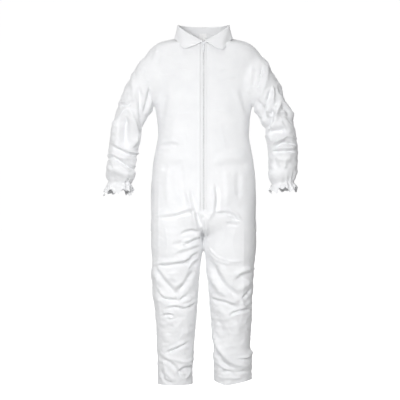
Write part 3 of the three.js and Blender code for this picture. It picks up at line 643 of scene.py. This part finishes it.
def cut_skin(skin):
    mesh = bpy.data.meshes.new("skin")
    mesh.from_pydata(skin.p.tolist(), [], skin.f.tolist())
    bm = bmesh.new()
    bm.from_mesh(mesh)
    bpy.data.meshes.remove(mesh)
    cut(bm, (0, NECK_MIDDLE, NECK_Z), (0, -NECK_LEAN, 1), lambda c: c.z > -0.04 and abs(c.x) < 0.13, True)
    for side in (1, -1):
        cut(bm, (side * SLEEVE_END[0], 0, SLEEVE_END[2]), (side * 0.074, 0, -0.997),
            lambda c: side * c.x > 0.26 and c.z < -0.55 and c.z > -0.75, True)
        cut(bm, (side * ARMHOLE_LOW[0], 0, ARMHOLE_LOW[2]), (side * ARMHOLE_OUT[0], 0, ARMHOLE_OUT[2]),
            lambda c: side * c.x > 0.15 and c.z > -0.335)
        cut(bm, (side * OPENING_HALF, 0, 0), (1, 0, 0), lambda c: c.y < 0 and c.z > -0.72 and abs(c.x) < 0.03)
    rag_cuffs(bm)
    close_ankles(bm)
    cut(bm, (0, 0, OPENING_END), (0, 0, 1),
        lambda c: c.y < 0 and abs(c.x) < 0.02 and abs(c.z - OPENING_END) < 0.02)
    cut(bm, (0, 0, 0), (1, 0, 0), lambda c: abs(c.x) < 0.02)
    cut(bm, (0, 0, 0), (0, 1, 0), lambda c: abs(c.y) < 0.02)
    gone = [f for f in bm.faces if in_opening(f.calc_center_median())]
    bmesh.ops.delete(bm, geom=gone, context="FACES")
    return bm


def close_ankles(bm):
    """Takes the caps off the legs' ends, which hang a little below the hem."""
    corner = 0.092
    lowest = (corner, 0, HEM_Z - 0.003)
    cut(bm, (0, 0, HEM_Z - 0.001), (0, 0, -1), lambda c: c.z < HEM_Z + 0.04 and c.x < 0, True)
    cut(bm, lowest, (0.20, 0, -1), lambda c: c.z < HEM_Z + 0.06 and c.x > corner, True)
    cut(bm, lowest, (-0.32, 0, -1), lambda c: c.z < HEM_Z + 0.06 and 0 < c.x <= corner, True)


def in_opening(c):
    return c.y < 0 and abs(c.x) < OPENING_HALF and c.z > OPENING_END


def piece_of(c):
    side = side_name(c.x)
    if on_sleeve(np.array([c]))[0]:
        return f"sleeve_{side}"
    return f"{'front' if c.y < 0 else 'back'}_{side}"


def clean_edges(mesh):
    """Keeps a piece's cut edges crisp once it has thickness."""
    uses = np.zeros(len(mesh.edges), int)
    for face in mesh.polygons:
        for i in range(face.loop_start, face.loop_start + face.loop_total):
            uses[mesh.loops[i].edge_index] += 1
    mesh.edges.foreach_set("use_edge_sharp", uses == 1)


def thicken(obj, thick, offset, even=False):
    """Gives a piece crisp cut edges and its thickness: inwards at an offset of -1, both ways at 0."""
    clean_edges(obj.data)
    solid = obj.modifiers.new("cloth", "SOLIDIFY")
    solid.thickness, solid.offset = thick, offset
    if even:
        solid.use_quality_normals = True
    graph = bpy.context.evaluated_depsgraph_get()
    obj.data = bpy.data.meshes.new_from_object(obj.evaluated_get(graph))
    obj.modifiers.clear()
    return obj


def sew(bm, name, chosen, look, thick=CLOTH, sink=0.0):
    """One cloth piece from the chosen faces of the cut skin, sunk in by that much."""
    bm.normal_update()
    index, faces = {}, []
    for f in bm.faces:
        if chosen(f):
            faces.append([index.setdefault(v, len(index)) for v in f.verts])
    verts = [v.co - v.normal * sink for v in index]
    return thicken(new_object(name, verts, faces, look), thick, -1, even=True)


# ---- materials ----

def material(name, colour, rough, sheen=0.0, metal=0.0):
    """A plain starting material, with the nodes' tree, its shader and its coordinates."""
    m = bpy.data.materials.new(name)
    m.use_nodes = True
    tree = m.node_tree
    shader = tree.nodes["Principled BSDF"]
    shader.inputs["Base Color"].default_value = (*colour, 1)
    shader.inputs["Roughness"].default_value = rough
    shader.inputs["Metallic"].default_value = metal
    shader.inputs["Sheen Weight"].default_value = sheen
    shader.inputs["Sheen Roughness"].default_value = 0.5
    return m, tree, shader, tree.nodes.new("ShaderNodeTexCoord").outputs["Object"]


def node(tree, kind, **inputs):
    made = tree.nodes.new("ShaderNode" + kind)
    for name, value in inputs.items():
        socket = made.inputs[name.replace("_", " ")]
        if isinstance(value, bpy.types.NodeSocket):
            tree.links.new(value, socket)
        else:
            socket.default_value = value
    return made


def speckle(tree, place, scale, detail):
    return node(tree, "TexNoise", Vector=place, Scale=scale, Detail=detail).outputs["Fac"]


def tint(tree, shader, value, dark, light, low=0.3, high=0.7):
    """Colours the shader from dark to light by a value."""
    ramp = node(tree, "ValToRGB", Fac=value)
    for stop, place, colour in zip(ramp.color_ramp.elements, (low, high), (dark, light)):
        stop.position, stop.color = place, (*colour, 1)
    tree.links.new(ramp.outputs["Color"], shader.inputs["Base Color"])


def bumps(tree, shader, layers):
    """Stacks bump layers of (height, strength, distance) on the shader."""
    normal = None
    for height, strength, distance in layers:
        bump = node(tree, "Bump", Height=height, Strength=strength, Distance=distance)
        if normal:
            tree.links.new(normal, bump.inputs["Normal"])
        normal = bump.outputs["Normal"]
    tree.links.new(normal, shader.inputs["Normal"])


def nonwoven(name, light=(0.905, 0.910, 0.920), dark=(0.860, 0.866, 0.880)):
    """Spun-bonded cloth: matted fibres, a grid of small bonded dimples, and a faint cloudiness."""
    m, tree, shader, place = material(name, light, 0.72, sheen=0.25)
    clouds = speckle(tree, place, 14.0, 4.0)
    tint(tree, shader, clouds, dark, light)
    fibres = speckle(tree, place, 900.0, 3.0)
    dimples = node(tree, "TexVoronoi", Vector=place, Scale=620.0, Randomness=0.15)
    pits = node(tree, "MapRange", Value=dimples.outputs["Distance"], From_Max=0.35)
    crinkle = speckle(tree, place, 85.0, 5.0)
    bumps(tree, shader, [
        (crinkle, 0.30, 0.0016), (fibres, 0.12, 0.0003), (pits.outputs["Result"], 0.15, 0.0002),
    ])
    rough = node(tree, "MapRange", Value=fibres, To_Min=0.62, To_Max=0.82)
    tree.links.new(rough.outputs["Result"], shader.inputs["Roughness"])
    return m


def woven(name, light, dark, scale=900.0):
    """A narrow woven tape or elastic."""
    m, tree, shader, place = material(name, light, 0.7, sheen=0.15)
    weft = node(tree, "TexWave", Vector=place, Scale=scale, Distortion=0.4)
    weft.bands_direction = "Z"
    warp = node(tree, "TexWave", Vector=place, Scale=scale * 0.8, Distortion=0.4)
    warp.bands_direction = "X"
    tint(tree, shader, weft.outputs["Fac"], dark, light, 0.0, 1.0)
    bumps(tree, shader, [(weft.outputs["Fac"], 0.35, 0.0003), (warp.outputs["Fac"], 0.25, 0.0003)])
    return m


def moulded(name, colour, rough, metal=0.0):
    """Moulded or painted hardware, with fine grain and a faint random mottle of wear."""
    m, tree, shader, place = material(name, colour, rough, metal=metal)
    grain = speckle(tree, place, 1400.0, 4.0)
    worn = speckle(tree, place, 180.0, 3.0)
    tint(tree, shader, worn, [0.86 * c for c in colour], colour)
    bumps(tree, shader, [(grain, 0.12, 0.0002)])
    return m


CLOTH_LOOK = nonwoven("nonwoven_cloth")
# The cloth's inside: the same white nonwoven darkened all over, as painted shade for the shaded inside of the
# collar stand
SHADED_INSIDE_LOOK = nonwoven("nonwoven_inside_painted_shade", (0.850, 0.856, 0.868), (0.805, 0.811, 0.825))
TAPE_LOOK = woven("zip_tape_weave", (0.895, 0.90, 0.91), (0.84, 0.845, 0.855))
COIL_LOOK = moulded("zip_coil_plastic", (0.85, 0.855, 0.865), 0.38)
METAL_LOOK = moulded("zip_metal_paint", (0.72, 0.73, 0.75), 0.34, 0.3)
ELASTIC_LOOK = woven("elastic_weave", (0.84, 0.84, 0.83), (0.72, 0.72, 0.71), 500.0)
LABEL_LOOK = woven("label_satin", (0.985, 0.985, 0.985), (0.95, 0.95, 0.955), 1500.0)


# ---- collar ----

def collar_curves():
    """The collar's lines round the left half of the neck, front to back: seam and fold."""
    seam = [
        (0.0045, -0.0835, -0.0082), (0.040, -0.075, -0.006), (0.070, -0.052, 0.001), (0.0865, -0.022, 0.010),
        (0.0860, 0.006, 0.014), (0.071, 0.036, 0.013), (0.043, 0.056, 0.011), (0.0, 0.062, 0.010),
    ]
    fold = [
        (0.0045, -0.0865, -0.0065), (0.040, -0.074, 0.013), (0.074, -0.058, 0.036), (0.101, -0.036, 0.0575),
        (0.1045, -0.006, 0.0670), (0.087, 0.046, 0.0690), (0.050, 0.071, 0.0680), (0.0, 0.0775, 0.0670),
    ]
    return [through(range(8), line, 57) for line in (seam, fold)]


def both_sides(left_half):
    """A curve from the left front round the back to the right front."""
    right = left_half[::-1][1:] * (-1, 1, 1)
    return np.concatenate([left_half, right])


def cloth_grid(name, rows, look, thick):
    rows = np.array(rows)
    faces = grid_faces(len(rows), rows.shape[1])
    return thicken(new_object(name, rows.reshape(-1, 3), faces, look), thick, 0)


def outward(curve):
    """Level directions from the neck's middle out to each of the curve's points."""
    out = curve * (1, 1, 0) - (0, NECK_MIDDLE, 0)
    return out / np.linalg.norm(out, axis=1)[:, None]


def make_stand():
    seam, fold = collar_curves()
    rows = []
    for v in np.linspace(0, 1, 14):
        half = seam + (fold - seam) * v
        rows.append(both_sides(half - outward(half) * 1.5 * MM * math.sin(math.pi * v)))
    # The stand's inside takes the cloth darkened as painted shade
    stand = cloth_grid("collar_stand_inside", rows, SHADED_INSIDE_LOOK, 1.2 * MM)
    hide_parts("collar_stand")
    return stand


def make_fall():
    """The collar folded over behind, from one wing's side edge round the back to the other."""
    _, fold = collar_curves()
    top = fold[WING_COUNT - 1:]
    share = np.linspace(0, 1, len(top))
    rows = []
    for v in np.linspace(0, 1, 18):
        roll = min(v / 0.10, 1)
        reach = 0.0035 * math.sin(roll * math.pi / 2) + 0.012 * v ** 1.3
        rise = 0.0022 * math.sin(roll * math.pi) - 0.053 * max(v - 0.03, 0)
        sag = 1.6 * MM * np.sin(9 * share + 1) * v + 1.0 * MM * np.sin(23 * share) * v
        half = top + outward(top) * (reach + sag)[:, None] + np.array((0, 0, 1)) * rise
        rows.append(both_sides(half))
    fall = cloth_grid("collar_fall_back", rows, CLOTH_LOOK, DOUBLE_CLOTH)
    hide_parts("collar_fall")
    return fall, np.array(rows)


def make_wing(side, fall_rows):
    """A collar wing: from its fold to its point, meeting the fall at its side."""
    _, fold = collar_curves()
    name = side_name(side)
    top = fold[:WING_COUNT]
    edge = fall_rows[:, 0]
    corner = np.array((0.0100, -0.0945, -0.0100)) if side > 0 else np.array((0.0055, -0.0885, -0.0110))
    point = np.array((0.074, -0.0925, -0.0420)) if side > 0 else np.array((0.080, -0.0925, -0.0380))
    rows = []
    for v, at_side in zip(np.linspace(0, 1, len(edge)), edge):
        u = np.linspace(0, 1, len(top))[:, None]
        outer = through([0, 0.66, 1], [corner, point, edge[-1]], len(top))
        straight = top + (outer - top) * v
        pull = (at_side - (top[-1] + (edge[-1] - top[-1]) * v)) * u ** 3
        swell, turn = math.sin(math.pi * min(v * 1.2, 1)), math.sin(math.pi * min(v / 0.14, 1))
        belly = np.array((0.35, -0.85, 0.25)) * 6 * MM * swell * np.sin(math.pi * u)
        roll = np.array((0.2, -0.6, 0.75)) * 2.2 * MM * turn * np.sin(math.pi * u) ** 0.5
        rows.append((straight + pull + belly + roll) * (side, 1, 1))
    if side < 0:
        rows = [row[::-1] for row in rows]
    wing = cloth_grid(f"collar_wing_{name}_cloth", rows, CLOTH_LOOK, DOUBLE_CLOTH)
    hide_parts(f"collar_wing_{name}")
    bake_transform(wing)


# ---- zip ----

def on_zip(x, z, depth):
    """A point on the front's middle, that far in behind the cloth's outer face."""
    return (x, front_line(z) + depth + 0.35 * abs(x) ** 2, z)


def make_tape(side):
    name = side_name(side)
    section = ((0.0003, 0.0023), (0.0038, 0.0021), (0.009, 0.0018), (0.0130, 0.0028), (0.016, 0.0032),
               (0.023, 0.0034))
    rows = []
    for z in np.linspace(-0.0085, OPENING_END - 0.004, 140):
        wave = 0.25 * MM * math.sin(z * 160 + side)
        rows.append([on_zip(side * x, z, depth + wave) for x, depth in section])
    rows = [row[::-1] for row in rows] if side > 0 else rows
    tape = cloth_grid(f"zip_tape_{name}", rows, TAPE_LOOK, 0.6 * MM)
    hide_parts(f"zipper_tape_{name}")
    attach(tape, "torso")


def capsule(verts, faces, start, end, radius, sides=6):
    """Adds a short rounded bar to a list of vertices and faces."""
    axis = (end - start).normalized()
    u = axis.orthogonal().normalized()
    v = axis.cross(u)
    base = len(verts)
    rings = ((start, 0.35), (start + axis * radius * 0.6, 1), (end - axis * radius * 0.6, 1), (end, 0.35))
    for middle, share in rings:
        for k in range(sides):
            a = 2 * math.pi * k / sides
            verts.append(middle + (u * math.cos(a) + v * math.sin(a)) * radius * share)
    faces += grid_faces(len(rings), sides, closed=True, start=base)
    faces.append(tuple(base + k for k in reversed(range(sides))))
    faces.append(tuple(base + (len(rings) - 1) * sides + k for k in range(sides)))


def make_coil(side):
    """One half of the closed coil: a tooth every 1.3 mm, hooked over the other half's."""
    name = side_name(side)
    verts, faces = [], []
    pitch = 1.3 * MM
    z = -0.0125 - (0 if side > 0 else pitch / 2)
    while z > OPENING_END + 0.006:
        inner = Vector(on_zip(-side * 0.0006, z, 0.0012))
        outer = Vector(on_zip(side * 0.0034, z - 0.0002, 0.0012))
        capsule(verts, faces, inner, outer, 0.00062)
        z -= pitch
    coil = new_object(f"zip_coil_{name}", verts, faces, COIL_LOOK)
    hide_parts(f"zipper_coil_{name}")
    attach(coil, "torso")


def dress_hardware():
    """The CAD's own slider, pull and stops, with rounded edges and painted metal."""
    for name in ("zipper_slider", "zipper_pull_tab", "zipper_bottom_stop",
                 "zipper_top_stop_left", "zipper_top_stop_right"):
        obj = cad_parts[name]
        obj.data.materials.clear()
        obj.data.materials.append(METAL_LOOK)
        bevel = obj.modifiers.new("rounded", "BEVEL")
        bevel.width, bevel.segments, bevel.limit_method = 0.22 * MM, 2, "ANGLE"


def make_label():
    """A blank satin label sewn inside the back of the neck."""
    rows = []
    for z in np.linspace(0.040, 0.006, 12):
        stand = 0.0620 + 0.272 * (z - 0.010)
        curl = 0.060 * max(0.024 - z, 0)
        rows.append([(x, stand - 0.0048 - curl - 3.0 * x * x, z) for x in np.linspace(-0.017, 0.013, 12)])
    label = cloth_grid("neck_label_satin", rows, LABEL_LOOK, 0.5 * MM)
    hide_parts("neck_label")
    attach(label, "torso")


# ---- put together ----

skin = Skin(*union_skin())
skin.relax(6)
ease_joins(skin)
shape_cloth(skin)
body = cut_skin(skin)
places = {face: face.calc_center_median() for face in body.faces}
names = {face: piece_of(place) for face, place in places.items()}

pieces = {}
for name in ("front_left", "front_right", "back_left", "back_right", "sleeve_left", "sleeve_right"):
    kind = "cloth" if "sleeve" in name else "panel"
    pieces[name] = sew(body, f"{name}_{kind}", lambda f: names[f] == name, CLOTH_LOOK)

for side, name in ((1, "left"), (-1, "right")):
    for face in ("front", "back"):
        panel = pieces[f"{face}_{name}"]
        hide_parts(f"{face}_panel_{name}", f"leg_{face}_{name}")
        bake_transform(panel)
    sleeve = pieces[f"sleeve_{name}"]
    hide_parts(f"sleeve_{name}")
    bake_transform(sleeve)

    def is_cuff(f):
        c = places[f]
        t = float(limb(before_bow(np.array([c])))[0][0]) if c.x * side > 0.26 and c.z < -0.5 else 0
        return names[f] == f"sleeve_{name}" and GATHER - 0.012 < t < GATHER + 0.012

    def is_hem(f):
        height = HEM_HEIGHT + (0.012 if side > 0 else 0.004)
        return places[f].z < HEM_Z + height and places[f].x * side > 0

    band = sew(body, f"cuff_elastic_{name}_band", is_cuff, ELASTIC_LOOK, BAND_THICK, BAND_DEPTH)
    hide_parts(f"cuff_elastic_{name}")
    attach(band, f"sleeve_{name}")
    hem = sew(body, f"ankle_hem_{name}_turn", is_hem, CLOTH_LOOK, BAND_THICK, BAND_DEPTH)
    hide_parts(f"ankle_hem_{name}")
    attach(hem, f"leg_{name}")
    make_tape(side)
    make_coil(side)

waist = sew(body, "waist_elastic_band",
            lambda f: "back" in names[f] and places[f].y > 0.012 and abs(places[f].z - WAIST_Z) < 0.009,
            ELASTIC_LOOK, BAND_THICK, BAND_DEPTH)
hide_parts("waist_elastic")
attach(waist, "torso")
body.free()

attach(make_stand(), "torso")
fall, fall_rows = make_fall()
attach(fall, "torso")
for side in (1, -1):
    make_wing(side, fall_rows)
make_label()
dress_hardware()


# ---- studio ----

def glowing(name, colour, rough):
    """A material for the stage, which shines white at full strength."""
    m, _, shader, _ = material(name, colour, rough)
    shader.inputs["Emission Color"].default_value = (1, 1, 1, 1)
    shader.inputs["Emission Strength"].default_value = 1.0
    return m


def stage_floor():
    reach, height = 40, -1.62
    corners = [(x * reach, y * reach, height) for x, y in ((-1, -1), (1, -1), (1, 1), (-1, 1))]
    floor = new_object("floor", corners, [(0, 1, 2, 3)], glowing("pale_floor", (0.96, 0.96, 0.965), 0.9))
    floor.visible_diffuse = False


def stage_backdrop():
    """A white surround that the camera sees and that casts no light of its own."""
    dome = ((-12, 36), (0, 38), (20, 32), (36, 14), (40, 1))  # heights and radii
    rows = [oval((0, 0, z), (r, 0, 0), (0, r, 0), 64, 2.0) for z, r in dome]
    verts, faces = tube(np.array(rows))
    backdrop = new_object("backdrop", verts, faces, glowing("white_surround", (0, 0, 0), 1.0))
    for ray in ("diffuse", "glossy", "transmission", "volume_scatter", "shadow"):
        setattr(backdrop, f"visible_{ray}", False)


def area_light(name, place, aim, size, power, spread=180):
    data = bpy.data.lights.new(name, "AREA")
    data.shape, data.size, data.energy, data.spread = "SQUARE", size, power, math.radians(spread)
    lamp = bpy.data.objects.new(name, data)
    lamp.location = place
    lamp.rotation_euler = (Vector(aim) - Vector(place)).to_track_quat("-Z", "Y").to_euler()
    bpy.context.scene.collection.objects.link(lamp)


def studio():
    stage_floor()
    stage_backdrop()
    world = bpy.data.worlds.new("studio")
    world.use_nodes = True
    sky = world.node_tree.nodes["Background"]
    sky.inputs["Color"].default_value = (1, 1, 1, 1)
    sky.inputs["Strength"].default_value = 0.24
    bpy.context.scene.world = world
    area_light("key", (-0.95, -3.4, 0.10), (0, 0, -0.90), 0.9, 20, 90)
    area_light("fill", (2.8, -4.0, -0.5), (0, 0, -0.7), 2.0, 36)
    area_light("top", (-0.4, -0.9, 2.8), (0, 0, -0.3), 2.0, 24)
    area_light("behind", (1.2, 4.4, 0.5), (0, 0, -0.8), 1.4, 110)
    area_light("side", (-4.4, 0.9, 0.0), (0, 0, -0.7), 2.0, 26)
    camera = bpy.data.cameras.new("camera")
    camera.lens, camera.sensor_width = 129.5, 36
    eye = bpy.data.objects.new("camera", camera)
    eye.location, eye.rotation_euler = (-0.0146, -6.0, -0.661), (math.pi / 2, 0, 0)
    bpy.context.scene.collection.objects.link(eye)
    bpy.context.scene.camera = eye
    bpy.context.scene.view_settings.view_transform = "Standard"


studio()
